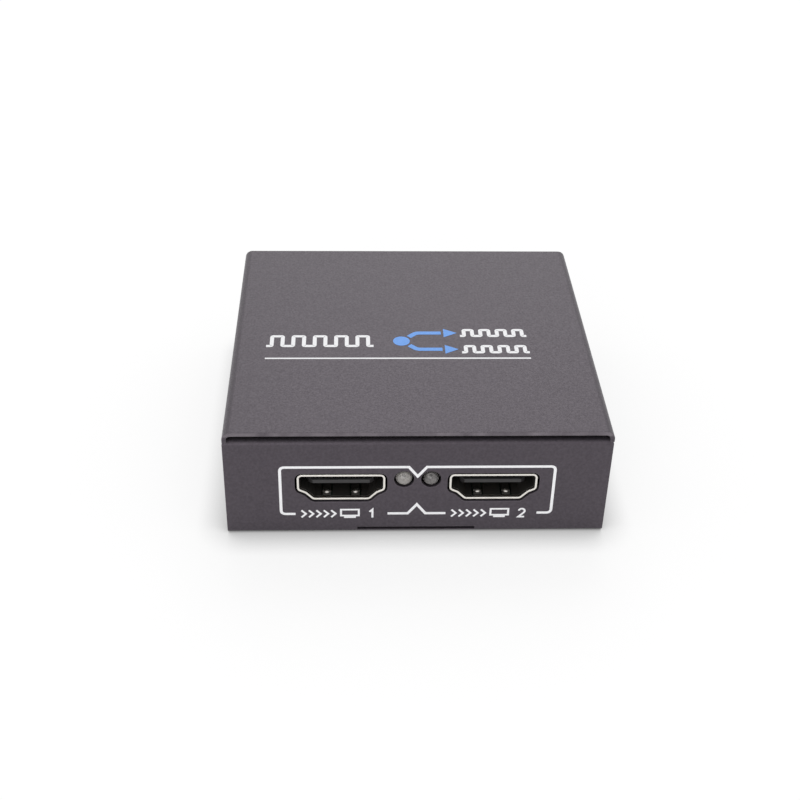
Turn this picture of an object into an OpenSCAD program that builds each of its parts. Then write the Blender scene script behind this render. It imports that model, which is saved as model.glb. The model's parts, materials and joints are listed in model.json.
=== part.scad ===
// Two-output video splitter in a two-piece sheet steel box, in millimetres.
// Z is up, the front panel with both outputs faces -Y, the bottom rests on Z = 0.
// The bottom tray carries the front and rear panels, the cover carries the top and both sides.

/* [Case] */
// Width of the front and rear panels
case_w = 64; // [62:0.5:76]
// Depth from the front panel face to the rear panel face
case_d = 60; // [58:0.5:76]
// Height from the underside to the top face
case_h = 21.5; // [20:0.5:28]
// Sheet thickness of tray and cover
sheet_t = 0.7; // [0.6:0.1:0.9]
// Outer bend radius along the cover's two long edges
cover_bend_r = 1.4; // [1.2:0.1:1.8]
// Outer bend radius where the panels leave the floor
tray_bend_r = 1; // [1:0.1:1.4]
// Outer bend radius at the top of each panel
lip_bend_r = 0.9; // [0.9:0.1:1.3]
// Depth of the lip bent back from each panel
lip_d = 4; // [3:0.1:5]
// Width of the relief slot along the lower bend of the front panel
slot_w = 20; // [10:0.5:30]

/* [Video sockets] */
// Distance of each output from the middle
output_x = 12.7; // [12.4:0.1:13.2]
// Position of the input on the rear panel
input_x = -9; // [-12:0.5:-6]
// Width of the socket opening
port_w = 14; // [13.9:0.05:14.1]
// Height of the socket opening
port_h = 4.55; // [4.5:0.05:4.6]
// Free gap around a socket in its panel hole
port_gap = 0.35; // [0.3:0.05:0.5]

/* [Power jack] */
// Distance of the jack from the end of the rear panel nearer to it
jack_x = 15; // [14.5:0.5:17]
// Diameter of the bore that takes the plug
jack_bore_d = 6.4; // [6.2:0.1:6.6]
// Diameter of the centre pin
jack_pin_d = 2; // [1.9:0.05:2.1]

/* [Indicator lights] */
// Distance of each light from the middle
light_x = 2.25; // [2.2:0.05:2.4]
// Diameter of the domed lens
light_d = 3; // [2.8:0.1:3.1]
// Height of the dome in front of the panel
light_proud = 0.5; // [0.3:0.1:0.7]

/* [Fasteners] */
// Distance of the case screws from the middle of each side
case_screw_y = 17; // [12:0.5:18]
// Height of the case screws
case_screw_z = 11; // [10:0.5:12]
// Thread diameter of all screws
thread_d = 3; // [2.9:0.1:3.1]
// Head diameter of all screws
head_d = 5.4; // [5:0.1:5.6]

/* [Hidden] */
$fn = 48;
tiny = 0.01;
cut_over = 1;
seam = 0.15;
fit = 0.03;
thread_gap = 0.05;
panel_over = 0.1;

// Case, derived
cover_w = case_w - 2 * panel_over;
tray_w = cover_w - 2 * (sheet_t + seam);
cover_floor_gap = 0.3;
cover_over = 0.5;
lip_gap = 1.4;
lip_z = case_h - sheet_t - lip_gap;
wing_drop = 0.05;
wing_top = lip_z - wing_drop;
wing_r = 0.7;
lip_w = tray_w - 2 * (cover_bend_r - sheet_t);
panel_in = case_d / 2 - sheet_t;
slot_z = 0.6;
slot_h = 0.65;
slot_d = tray_bend_r - seam;
ear_w = 9;
ear_above = 3.4;
ear_top = case_screw_z + ear_above;
burr_wall = 0.9;
burr_r = thread_d / 2 + burr_wall;
burr_h = 1.2;

// Screws, derived
head_h = 1.5;
head_crown_r = 4.6;
shank_l = 5;
drive_w = 0.9;
drive_l = 3;
drive_d = 0.9;
thread_bore_r = thread_d / 2 + thread_gap;
case_hole_gap = 0.2;
case_hole_r = thread_d / 2 + case_hole_gap;

// Board, derived
board_t = 1.6;
board_z = 5;
board_top = board_z + board_t;
board_side_gap = 1.9;
board_w = tray_w - 2 * (sheet_t + board_side_gap);
board_end_gap = 0.7;
board_d = 2 * (panel_in - board_end_gap);
post_r = 2.6;
post_foot_r = 2;
post_inset = 3.6;
post_floor = 1.3;
post_x = board_w / 2 - post_inset;
post_y = board_d / 2 - post_inset;
board_hole_gap = 0.15;
board_hole_r = thread_d / 2 + board_hole_gap;

// Socket, derived
shell_t = 0.35;
shell_d = 10.4;
shell_recess = 0.2;
shell_lift = 0.5;
port_z = board_top + shell_lift + shell_t + port_h / 2;
port_side_h = 2.65;
port_ledge_x = 1.2;
port_ledge_h = 0.6;
port_base_w = 9.1;
port_corner_r = 0.5;
port_arc_n = 5;
leg_w = 1.3;
leg_tail = 0.8;
leg_play = 0.2;
leg_front_y = 3.2;
leg_back_y = 8.3;

// Socket insulator and contacts, derived
block_y = 8.4;
block_past_shell = 0.8;
block_end = shell_d + block_past_shell;
tongue_y = 1;
tongue_w = 10.9;
tongue_t = 1.05;
tongue_drop = 1.3;
tongue_z = port_h / 2 - tongue_drop - tongue_t;
tongue_cut = 0.7;
tongue_nose_h = 0.2;
tongue_nose_l = 0.3;
contact_w = 0.34;
contact_t = 0.15;
contact_pitch = 1;
contact_upper_n = 10;
contact_lower_n = 9;
contact_inset = 0.5;
contact_y = tongue_y + contact_inset;
tail_t = 0.2;
foot_l = 1;

// Socket spring leaves, derived
leaf_w = 1.4;
leaf_t = 0.25;
leaf_l = 4.8;
leaf_tip_y = 0.9;
leaf_bump = 0.25;
leaf_side_gap = 0.25;
leaf_root_gap = 0.06;
leaf_lower_x = 2.4;
leaf_upper_x = 3.8;
leaf_n = 14;
leaf_shape = 4;
dimple_r = 0.6;
dimple_h = 0.2;
leaf_inset = (shell_t - leaf_t) / 2;

// Jack, derived
jack_w = 9;
jack_rise = 6.5;
jack_z = board_top + jack_rise;
jack_bore_r = jack_bore_d / 2;
jack_pin_r = jack_pin_d / 2;
jack_wall = 0.8;
jack_nose_r = jack_bore_r + jack_wall;
jack_nose_gap = 0.3;
jack_proud = light_proud;
jack_panel_gap = 0.15;
jack_body_y = jack_proud + sheet_t + jack_panel_gap;
jack_bore_l = 10;
jack_l = 13.6;
jack_pin_tip_y = 1.6;
jack_pin_step = 0.35;
jack_pin_base_r = jack_pin_r + jack_pin_step;
jack_pin_base_l = 0.3;
jack_pin_base_y = jack_bore_l - jack_pin_base_l;
strip_t = 0.3;
strip_w = 2.4;
strip_play = 0.1;
sleeve_root_y = 9.6;
sleeve_bump_end_y = 4;
sleeve_tip_y = 3.3;
sleeve_drop = 0.55;
sleeve_reach = 1;
sleeve_n = 14;
sleeve_shape = 1.4;
sleeve_root_gap = 0.06;
sleeve_side_gap = 0.25;
sleeve_slot_w = strip_w + 2 * sleeve_side_gap;
sleeve_slot_h = 1.5;
sleeve_slot_rise = 1.7;
switch_y = 2.6;
switch_tip_l = 1.3;
switch_tip_w = 1.2;
switch_tip_t = 0.12;
tail_below = 0.9;
tail_drop = board_t + tail_below;
strip_z = -jack_bore_r - sleeve_drop;

// Lights, derived
light_r = light_d / 2;
light_rise = 4.9;
light_z = board_top + light_rise;
light_flange_w = 0.4;
light_flange_r = light_r + light_flange_w;
light_flange_t = 1;
light_l = 5.3;
light_hole_gap = 0.18;
light_hole_r = light_r + light_hole_gap;
lead_w = 0.5;
lead_x = 1.27;
lead_in = 2.2;
lead_run = 1.6;
cup_r = 0.65;
cup_h = 0.7;
lead_hole_r = 0.45;

// Chips and passives on the board
chip_w = 10;
chip_t = 1.4;
chip_lead_n = 16;
chip_lead_pitch = 0.5;
chip_lead_w = 0.22;
chip_lead_t = 0.15;
chip_lead_l = 1;
chip_y = -3;
memory_w = 4.9;
memory_d = 3.9;
memory_t = 1.45;
memory_inset = 14.45;
memory_x = board_w / 2 - memory_inset;
memory_y = 1.5;
memory_back_y = -5.5;
memory_lead_n = 4;
memory_pitch = 1.27;
memory_lead_w = 0.4;
regulator_w = 6.5;
regulator_d = 3.5;
regulator_t = 1.6;
regulator_inset = 12.45;
regulator_x = board_w / 2 - regulator_inset;
regulator_y = 10.2;
regulator_lead_n = 3;
regulator_pitch = 2.3;
regulator_lead_w = 0.7;
regulator_lead_l = 1.5;
regulator_tab_w = 3;
crystal_l = 11;
crystal_w = 4.6;
crystal_h = 3.6;
crystal_rim = 0.5;
crystal_base_t = 0.8;
crystal_inset = 13.45;
crystal_x = crystal_inset - board_w / 2;
crystal_y = 3.5;
can_r = 3.1;
can_h = 5.6;
can_base_w = 6.6;
can_base_t = 1;
can_x = 5.5;
can_inset = 10.1;
can_y = board_d / 2 - can_inset;
coil_w = 5;
coil_h = 2.8;
coil_rim = 0.2;
coil_x = 5;
coil_y = 9.8;
cap_l = 1.6;
cap_w = 0.8;
cap_t = 0.8;
res_l = 1.6;
res_w = 0.8;
res_t = 0.45;
passive_row_n = 6;
passive_step = 2.2;
cap_row_x = -7.5;
cap_row_y = 9.8;
res_row_x = 0;
res_row_y = -14;

top_cover();
bottom_tray();
case_screw_left_front();
case_screw_left_rear();
case_screw_right_front();
case_screw_right_rear();
board_posts();
board_screws();
circuit_board();
output_1_shell();
output_1_insulator();
output_1_contacts();
output_1_upper_springs();
output_1_lower_springs();
output_2_shell();
output_2_insulator();
output_2_contacts();
output_2_upper_springs();
output_2_lower_springs();
input_shell();
input_insulator();
input_contacts();
input_upper_springs();
input_lower_springs();
power_jack_housing();
power_jack_pin();
power_jack_sleeve_spring();
power_jack_sleeve_terminal();
power_jack_switch_contact();
light_1_lens();
light_1_leads();
light_2_lens();
light_2_leads();
splitter_chip();
memory_chips();
voltage_regulator();
clock_crystal();
bulk_capacitor();
power_inductor();
chip_capacitors();
chip_resistors();

// Outline helpers: unit vector, outward normal, grown outline and rounded corners
function unit(v) = v / norm(v);
function side_normal(a, b) = let(u = unit(b - a)) [u.y, -u.x];
function before(p, i) = p[(i + len(p) - 1) % len(p)];
function after(p, i) = p[(i + 1) % len(p)];

function grown(p, d) = [
  for (i = [0 : len(p) - 1])
    let(n1 = side_normal(before(p, i), p[i]), n2 = side_normal(p[i], after(p, i)))
    p[i] + d * (n1 + n2) / (1 + n1 * n2)
];

function wrapped(a) = a > 180 ? a - 360 : (a < -180 ? a + 360 : a);

function corner_arc(a, p, b, r, n) =
  let(
    u = unit(a - p), v = unit(b - p),
    half = acos(u * v) / 2,
    c = p + unit(u + v) * r / sin(half),
    s = p + u * r / tan(half) - c,
    e = p + v * r / tan(half) - c,
    a0 = atan2(s.y, s.x),
    turn = wrapped(atan2(e.y, e.x) - a0)
  )
  [for (i = [0 : n]) c + r * [cos(a0 + turn * i / n), sin(a0 + turn * i / n)]];

function rounded(p, r, n) = [
  for (i = [0 : len(p) - 1]) each corner_arc(before(p, i), p[i], after(p, i), r, n)
];

// Socket opening, wide at the top, centred on its own height
function port_points() = [
  [-port_base_w / 2, -port_h / 2],
  [port_base_w / 2, -port_h / 2],
  [port_w / 2 - port_ledge_x, port_h / 2 - port_side_h - port_ledge_h],
  [port_w / 2, port_h / 2 - port_side_h],
  [port_w / 2, port_h / 2],
  [-port_w / 2, port_h / 2],
  [-port_w / 2, port_h / 2 - port_side_h],
  [-port_w / 2 + port_ledge_x, port_h / 2 - port_side_h - port_ledge_h]
];

module port_outline(d) {
  polygon(rounded(grown(port_points(), d), port_corner_r + d, port_arc_n));
}

// Extrude a profile drawn in X and Z along +Y from y0 to y1
module along_y(y0, y1) {
  translate([0, y1, 0]) rotate([90, 0, 0]) linear_extrude(y1 - y0) children();
}

// Extrude a profile drawn in Y and Z along X, centred
module along_x(w) {
  rotate([90, 0, 90]) linear_extrude(w, center = true) children();
}

// Rectangle from z0 to z1 with its own corner radius below and above
module round_box_2d(w, z0, z1, r0, r1) {
  translate([-w / 2, z0 + r0]) square([w, z1 - r1 - z0 - r0]);
  translate([-w / 2 + r0, z0]) square([w - 2 * r0, r0 + tiny]);
  translate([-w / 2 + r1, z1 - r1 - tiny]) square([w - 2 * r1, r1 + tiny]);
  for (s = [-1, 1]) {
    translate([s * (w / 2 - r0), z0 + r0]) circle(r0);
    translate([s * (w / 2 - r1), z1 - r1]) circle(r1);
  }
}

// Places
module at_output(x) {
  translate([x, -case_d / 2 + shell_recess, port_z]) children();
}

module at_input() {
  translate([input_x, case_d / 2 - shell_recess, port_z]) rotate([0, 0, 180]) children();
}

module at_every_port() {
  at_output(-output_x) children();
  at_output(output_x) children();
  at_input() children();
}

module at_jack() {
  translate([case_w / 2 - jack_x, case_d / 2 + jack_proud, jack_z]) rotate([0, 0, 180]) children();
}

module at_light(x) {
  translate([x, -case_d / 2 - light_proud, light_z]) children();
}

module at_posts() {
  for (x = [-post_x, post_x], y = [-post_y, post_y]) translate([x, y, 0]) children();
}

// Local X points out of the side wall, origin on the cover's outer face
module at_case_screw(side, y) {
  translate([side * cover_w / 2, y, case_screw_z]) rotate([0, 0, side > 0 ? 0 : 180]) children();
}

module at_case_screws() {
  for (side = [-1, 1], y = [-case_screw_y, case_screw_y]) at_case_screw(side, y) children();
}

// Cover: top and two side walls in one bent sheet
module cover_profile() {
  difference() {
    round_box_2d(cover_w, cover_floor_gap - cover_bend_r, case_h, cover_bend_r, cover_bend_r);
    round_box_2d(cover_w - 2 * sheet_t, -2 * cover_bend_r, case_h - sheet_t,
      cover_bend_r - sheet_t, cover_bend_r - sheet_t);
    translate([-cover_w, cover_floor_gap - 3 * cover_bend_r]) square([2 * cover_w, 3 * cover_bend_r]);
  }
}

module top_cover() {
  setback = tray_bend_r + seam;
  color([0.10, 0.095, 0.10]) difference() {
    along_y(-case_d / 2 - cover_over, case_d / 2 + cover_over) cover_profile();
    for (end = [0, 180])
      rotate([0, 0, end]) translate([-cover_w, case_d / 2 - setback, -tiny])
        cube([2 * cover_w, setback + cover_over + cut_over, wing_top + seam + tiny]);
    at_case_screws() rotate([0, 90, 0]) cylinder(h = 4 * sheet_t, r = case_hole_r, center = true);
  }
}

// Tray: floor, front and rear panels and their lips in one bent sheet
module tray_profile() {
  difference() {
    round_box_2d(case_d, 0, lip_z, tray_bend_r, lip_bend_r);
    round_box_2d(case_d - 2 * sheet_t, sheet_t, lip_z - sheet_t, tray_bend_r - sheet_t, lip_bend_r - sheet_t);
    translate([-case_d / 2 + lip_d, lip_z - 2 * sheet_t]) square([case_d - 2 * lip_d, 3 * sheet_t]);
  }
}

// Both panels with their lower bends, which run out over the edges of the cover's walls
module panels_2d() {
  difference() {
    tray_profile();
    square([case_d - 2 * tray_bend_r, 3 * case_h], center = true);
    translate([-case_d, wing_top]) square([2 * case_d, case_h]);
  }
}

module panels() {
  intersection() {
    along_x(case_w) panels_2d();
    along_y(-case_d, case_d) round_box_2d(case_w, -wing_r, wing_top, wing_r / 2, wing_r);
  }
}

// Ends of the lips that would meet the inside of the cover's bends
module lip_ends() {
  for (s = [-1, 1])
    translate([s * (lip_w + case_w) / 2 - case_w / 2, -case_d, wing_top])
      cube([case_w, 2 * case_d, case_h]);
}

// Upright tab with a drawn collar for a case screw, its outer face on local X = 0
module ear() {
  reach = tray_bend_r + sheet_t;
  difference() {
    union() {
      translate([-sheet_t, -ear_w / 2, 0]) cube([sheet_t, ear_w, ear_top]);
      translate([-reach, -ear_w / 2, 0]) cube([reach, ear_w, sheet_t]);
      translate([-sheet_t - burr_h, 0, case_screw_z]) rotate([0, 90, 0])
        cylinder(h = burr_h + tiny, r = burr_r);
    }
    difference() {
      translate([-tray_bend_r, -ear_w, -tiny]) cube([2 * tray_bend_r, 2 * ear_w, tray_bend_r + tiny]);
      translate([-tray_bend_r, 0, tray_bend_r]) rotate([90, 0, 0])
        cylinder(h = 3 * ear_w, r = tray_bend_r, center = true);
    }
    translate([0, 0, case_screw_z]) rotate([0, 90, 0])
      cylinder(h = 4 * (burr_h + sheet_t), r = thread_bore_r, center = true);
  }
}

module ears() {
  for (side = [0, 180], y = [-case_screw_y, case_screw_y])
    translate([0, y, 0]) rotate([0, 0, side]) translate([tray_w / 2, 0, 0]) ear();
}

// Corners of the floor that the bent-up tabs leave free
module floor_corners() {
  for (side = [0, 180], y = [-case_screw_y, case_screw_y])
    translate([0, y, 0]) rotate([0, 0, side])
      translate([tray_w / 2 - tray_bend_r, -ear_w / 2, -tiny])
        cube([2 * tray_bend_r, ear_w, sheet_t + 2 * tiny]);
}

module bottom_tray() {
  color([0.10, 0.095, 0.10]) difference() {
    union() {
      difference() {
        along_x(tray_w) tray_profile();
        floor_corners();
        lip_ends();
      }
      panels();
      ears();
    }
    at_every_port()
      along_y(-shell_recess - cut_over, sheet_t - shell_recess + cut_over) port_outline(shell_t + port_gap);
    for (x = [-light_x, light_x])
      at_light(x) rotate([-90, 0, 0]) cylinder(h = light_proud + sheet_t + cut_over, r = light_hole_r);
    at_jack() rotate([-90, 0, 0])
      cylinder(h = jack_proud + sheet_t + cut_over, r = jack_nose_r + jack_nose_gap);
    at_posts() translate([0, 0, -cut_over]) cylinder(h = sheet_t + 2 * cut_over, r = post_foot_r + fit);
    translate([-slot_w / 2, -case_d / 2 - cut_over, slot_z]) cube([slot_w, slot_d + cut_over, slot_h]);
  }
}

// Pan-head cross-drive screw along local +X, underside of the head on X = 0
module screw() {
  rotate([0, 90, 0]) difference() {
    union() {
      translate([0, 0, -shank_l]) cylinder(h = shank_l + tiny, r = thread_d / 2);
      intersection() {
        cylinder(h = head_h, r = head_d / 2);
        translate([0, 0, head_h - head_crown_r]) sphere(head_crown_r);
      }
    }
    for (a = [0, 90])
      rotate([0, 0, a]) translate([-drive_l / 2, -drive_w / 2, head_h - drive_d])
        cube([drive_l, drive_w, 2 * drive_d]);
  }
}

module case_screw_left_front() {
  color([0.13, 0.13, 0.13]) at_case_screw(-1, -case_screw_y) screw();
}

module case_screw_left_rear() {
  color([0.13, 0.13, 0.13]) at_case_screw(-1, case_screw_y) screw();
}

module case_screw_right_front() {
  color([0.13, 0.13, 0.13]) at_case_screw(1, -case_screw_y) screw();
}

module case_screw_right_rear() {
  color([0.13, 0.13, 0.13]) at_case_screw(1, case_screw_y) screw();
}

// Pressed-in spacers between the floor and the board
module board_posts() {
  color([0.75, 0.75, 0.72]) at_posts() difference() {
    union() {
      translate([0, 0, sheet_t]) cylinder(h = board_z - sheet_t, r = post_r);
      translate([0, 0, fit]) cylinder(h = sheet_t, r = post_foot_r);
    }
    translate([0, 0, post_floor]) cylinder(h = board_z, r = thread_bore_r);
  }
}

module board_screws() {
  color([0.75, 0.75, 0.72]) at_posts() translate([0, 0, board_top]) rotate([0, -90, 0]) screw();
}

// Board with holes for screws, socket legs, jack tails and light leads
module circuit_board() {
  color([0.05, 0.30, 0.16]) difference() {
    translate([-board_w / 2, -board_d / 2, board_z]) cube([board_w, board_d, board_t]);
    at_posts() translate([0, 0, board_z - cut_over]) cylinder(h = board_t + 2 * cut_over, r = board_hole_r);
    at_every_port() shell_legs(leg_play);
    at_jack() {
      sleeve_tail(strip_play);
      switch_tail(strip_play);
      pin_tail(strip_play);
    }
    for (x = [-light_x, light_x], s = [-1, 1])
      translate([x + s * lead_x, light_lead_y(), board_z - cut_over])
        cylinder(h = board_t + 2 * cut_over, r = lead_hole_r);
  }
}

// Socket: bent shell with four legs, windows for the spring leaves
module shell_legs(play) {
  foot = board_z - leg_tail - port_z;
  for (s = [-1, 1], y = [leg_front_y, leg_back_y])
    translate([s * (port_w + shell_t) / 2 - shell_t / 2 - play, y - leg_w / 2 - play, foot - play])
      cube([shell_t + 2 * play, leg_w + 2 * play, port_h / 2 - port_side_h / 2 - foot + play]);
}

module leaf_windows(x, z) {
  for (s = [-1, 1])
    translate([s * x - leaf_w / 2 - leaf_side_gap, leaf_tip_y - leaf_side_gap, z - shell_t])
      cube([leaf_w + 2 * leaf_side_gap, leaf_l + leaf_side_gap + leaf_root_gap, 2 * shell_t]);
}

module shell() {
  difference() {
    along_y(0, shell_d) port_outline(shell_t);
    along_y(-cut_over, shell_d + cut_over) port_outline(0);
    leaf_windows(leaf_lower_x, -port_h / 2 - shell_t / 2);
    leaf_windows(leaf_upper_x, port_h / 2 + shell_t / 2);
  }
  shell_legs(0);
}

// Tongue that carries the contacts, bevelled at its front
module tongue() {
  top_z = tongue_z + tongue_t;
  nose_y = tongue_y + tongue_nose_l;
  root_y = block_y + tiny;
  intersection() {
    translate([0, 0, tongue_z]) linear_extrude(tongue_t)
      polygon([
        [-tongue_w / 2, root_y], [-tongue_w / 2, tongue_y + tongue_cut],
        [-tongue_w / 2 + tongue_cut, tongue_y], [tongue_w / 2 - tongue_cut, tongue_y],
        [tongue_w / 2, tongue_y + tongue_cut], [tongue_w / 2, root_y]
      ]);
    along_x(tongue_w)
      polygon([
        [tongue_y, tongue_z + tongue_nose_h], [nose_y, tongue_z], [root_y, tongue_z],
        [root_y, top_z], [nose_y, top_z], [tongue_y, top_z - tongue_nose_h]
      ]);
  }
}

// Insulator: rear block and tongue
module insulator() {
  difference() {
    union() {
      along_y(block_y, block_end) port_outline(-fit);
      tongue();
    }
    contact_strips(fit);
  }
}

function row_x(i, n) = (i - (n - 1) / 2) * contact_pitch;

module contact_strip(x, z, play) {
  run = block_end - contact_y + tail_t;
  translate([x - contact_w / 2 - play, contact_y - play, z - play])
    cube([contact_w + 2 * play, run + 2 * play, contact_t + 2 * play]);
}

module contact_strips(play) {
  for (i = [0 : contact_upper_n - 1])
    contact_strip(row_x(i, contact_upper_n), tongue_z + tongue_t - contact_t, play);
  for (i = [0 : contact_lower_n - 1])
    contact_strip(row_x(i, contact_lower_n), tongue_z, play);
}

module contact_tail(x, z) {
  floor_z = board_top - port_z;
  translate([x - contact_w / 2, block_end + fit, floor_z]) cube([contact_w, tail_t, z - floor_z]);
  translate([x - contact_w / 2, block_end + fit, floor_z]) cube([contact_w, foot_l, contact_t]);
}

module contacts() {
  contact_strips(0);
  for (i = [0 : contact_upper_n - 1]) contact_tail(row_x(i, contact_upper_n), tongue_z + tongue_t);
  for (i = [0 : contact_lower_n - 1]) contact_tail(row_x(i, contact_lower_n), tongue_z + contact_t);
}

// Spring leaf along -Y from its root, bulging up by leaf_bump near the tip
function leaf_line() = [
  for (i = [0 : leaf_n])
    let(s = i / leaf_n)
    [-s * leaf_l, leaf_bump * pow(sin(180 * pow(s, leaf_shape)), 2)]
];

function thickened(line, t) = concat(line, [for (i = [len(line) - 1 : -1 : 0]) line[i] + [0, t]]);

module leaf() {
  crest_y = -leaf_l * pow(0.5, 1 / leaf_shape);
  along_x(leaf_w) polygon(thickened(leaf_line(), leaf_t));
  translate([0, crest_y, leaf_bump + leaf_t + dimple_h - dimple_r]) dimple();
}

// Round contact point pressed up out of a leaf, the top of a ball
module dimple() {
  intersection() {
    sphere(dimple_r);
    translate([-dimple_r, -dimple_r, dimple_r - dimple_h - leaf_t]) cube(2 * dimple_r);
  }
}

module lower_springs() {
  for (s = [-1, 1])
    translate([s * leaf_lower_x, leaf_tip_y + leaf_l, -port_h / 2 - shell_t + leaf_inset]) leaf();
}

module upper_springs() {
  for (s = [-1, 1])
    translate([s * leaf_upper_x, leaf_tip_y + leaf_l, port_h / 2 + shell_t - leaf_inset])
      mirror([0, 0, 1]) leaf();
}

module output_1_shell() { color([0.78, 0.76, 0.72]) at_output(-output_x) shell(); }
module output_2_shell() { color([0.78, 0.76, 0.72]) at_output(output_x) shell(); }
module input_shell() { color([0.78, 0.76, 0.72]) at_input() shell(); }
module output_1_insulator() { color([0.07, 0.07, 0.07]) at_output(-output_x) insulator(); }
module output_2_insulator() { color([0.07, 0.07, 0.07]) at_output(output_x) insulator(); }
module input_insulator() { color([0.07, 0.07, 0.07]) at_input() insulator(); }
module output_1_contacts() { color([0.83, 0.66, 0.30]) at_output(-output_x) contacts(); }
module output_2_contacts() { color([0.83, 0.66, 0.30]) at_output(output_x) contacts(); }
module input_contacts() { color([0.83, 0.66, 0.30]) at_input() contacts(); }
module output_1_upper_springs() { color([0.8, 0.78, 0.74]) at_output(-output_x) upper_springs(); }
module output_2_upper_springs() { color([0.8, 0.78, 0.74]) at_output(output_x) upper_springs(); }
module input_upper_springs() { color([0.8, 0.78, 0.74]) at_input() upper_springs(); }
module output_1_lower_springs() { color([0.8, 0.78, 0.74]) at_output(-output_x) lower_springs(); }
module output_2_lower_springs() { color([0.8, 0.78, 0.74]) at_output(output_x) lower_springs(); }
module input_lower_springs() { color([0.8, 0.78, 0.74]) at_input() lower_springs(); }

// Power jack: arched housing with a round nose, local Y runs in from the mouth
module jack_body_2d() {
  translate([-jack_w / 2, board_top - jack_z]) square([jack_w, jack_z - board_top]);
  circle(jack_w / 2);
}

module power_jack_housing() {
  color([0.06, 0.06, 0.06]) at_jack() difference() {
    union() {
      rotate([-90, 0, 0]) cylinder(h = jack_body_y + tiny, r = jack_nose_r);
      along_y(jack_body_y, jack_l) jack_body_2d();
    }
    translate([0, -cut_over, 0]) rotate([-90, 0, 0]) cylinder(h = jack_bore_l + cut_over, r = jack_bore_r);
    rotate([-90, 0, 0]) cylinder(h = jack_l + cut_over, r = jack_pin_base_r + fit);
    translate([-sleeve_slot_w / 2, switch_y + strip_t + strip_play, strip_z - sleeve_slot_h])
      cube([sleeve_slot_w, sleeve_root_y - switch_y - strip_t, sleeve_slot_h + sleeve_slot_rise]);
    sleeve_tail(strip_play);
    switch_tail(strip_play);
  }
}

// Vertical tail behind the root of the sleeve spring
module sleeve_tail(play) {
  foot = board_top - jack_z - tail_drop;
  translate([-strip_w / 2 - play, sleeve_root_y + sleeve_root_gap - play, foot - play])
    cube([strip_w + 2 * play, strip_t + 2 * play, strip_z + strip_t - foot + 2 * play]);
}

// Tail in front of the sleeve spring with a tip over its free end
module switch_tail(play) {
  foot = board_top - jack_z - tail_drop;
  tip_z = strip_z + strip_t + fit;
  translate([-switch_tip_w / 2 - play, switch_y - play, foot - play])
    cube([switch_tip_w + 2 * play, strip_t + 2 * play, tip_z + switch_tip_t - foot + 2 * play]);
  translate([-switch_tip_w / 2 - play, switch_y - play, tip_z - play])
    cube([switch_tip_w + 2 * play, switch_tip_l + 2 * play, switch_tip_t + 2 * play]);
}

module pin_tail(play) {
  foot = board_top - jack_z - tail_drop;
  translate([-jack_pin_r - play, jack_l + fit - play, foot - play])
    cube([2 * (jack_pin_r + play), strip_t + 2 * play, jack_pin_r - foot + 2 * play]);
}

module power_jack_pin() {
  color([0.80, 0.79, 0.76]) at_jack() {
    translate([0, jack_pin_tip_y + jack_pin_r, 0]) sphere(jack_pin_r);
    translate([0, jack_pin_tip_y + jack_pin_r, 0]) rotate([-90, 0, 0])
      cylinder(h = jack_pin_base_y - jack_pin_tip_y - jack_pin_r + tiny, r = jack_pin_r);
    translate([0, jack_pin_base_y, 0]) rotate([-90, 0, 0])
      cylinder(h = jack_l - jack_pin_base_y + fit + tiny, r = jack_pin_base_r);
    pin_tail(0);
  }
}

function sleeve_line() = [
  for (i = [0 : sleeve_n])
    let(s = i / sleeve_n)
    [-s * (sleeve_root_y - sleeve_bump_end_y), sleeve_reach * pow(sin(180 * pow(s, sleeve_shape)), 2)],
  [sleeve_tip_y - sleeve_root_y, 0]
];

module power_jack_sleeve_spring() {
  color([0.80, 0.79, 0.76]) at_jack()
    translate([0, sleeve_root_y, strip_z]) along_x(strip_w) polygon(thickened(sleeve_line(), strip_t));
}

module power_jack_sleeve_terminal() {
  color([0.80, 0.79, 0.76]) at_jack() sleeve_tail(0);
}

module power_jack_switch_contact() {
  color([0.80, 0.79, 0.76]) at_jack() switch_tail(0);
}

// Light: domed lens with a rear flange, local Y runs in from the tip
function light_lead_y() = -case_d / 2 - light_proud + light_l + lead_run;

module lens() {
  difference() {
    union() {
      translate([0, light_r, 0]) sphere(light_r);
      translate([0, light_r, 0]) rotate([-90, 0, 0]) cylinder(h = light_l - light_r, r = light_r);
      translate([0, light_l - light_flange_t, 0]) rotate([-90, 0, 0])
        cylinder(h = light_flange_t, r = light_flange_r);
    }
    leads();
  }
}

// Two bent leads, one with the cup that holds the die
module leads() {
  foot = board_z - leg_tail - light_z;
  back = light_l + lead_run;
  inner_x = lead_x - lead_w;
  for (s = [-1, 1]) {
    translate([s * lead_x - lead_w / 2, light_l, -lead_w / 2]) cube([lead_w, lead_run + lead_w / 2, lead_w]);
    translate([s * lead_x - lead_w / 2, back - lead_w / 2, foot]) cube([lead_w, lead_w, lead_w / 2 - foot]);
    translate([s * inner_x - lead_w / 2, light_l - lead_in, -lead_w / 2]) cube([lead_w, lead_in, lead_w]);
    translate([s * (inner_x + lead_w / 2) - lead_w, light_l - lead_w, -lead_w / 2])
      cube([2 * lead_w, lead_w + tiny, lead_w]);
  }
  translate([-inner_x, light_l - lead_in - cup_h + tiny, 0]) rotate([-90, 0, 0])
    cylinder(h = cup_h, r = cup_r);
}

module light_1_lens() { color([0.92, 0.92, 0.88]) at_light(-light_x) lens(); }
module light_2_lens() { color([0.92, 0.92, 0.88]) at_light(light_x) lens(); }
module light_1_leads() { color([0.78, 0.78, 0.76]) at_light(-light_x) leads(); }
module light_2_leads() { color([0.78, 0.78, 0.76]) at_light(light_x) leads(); }

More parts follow.
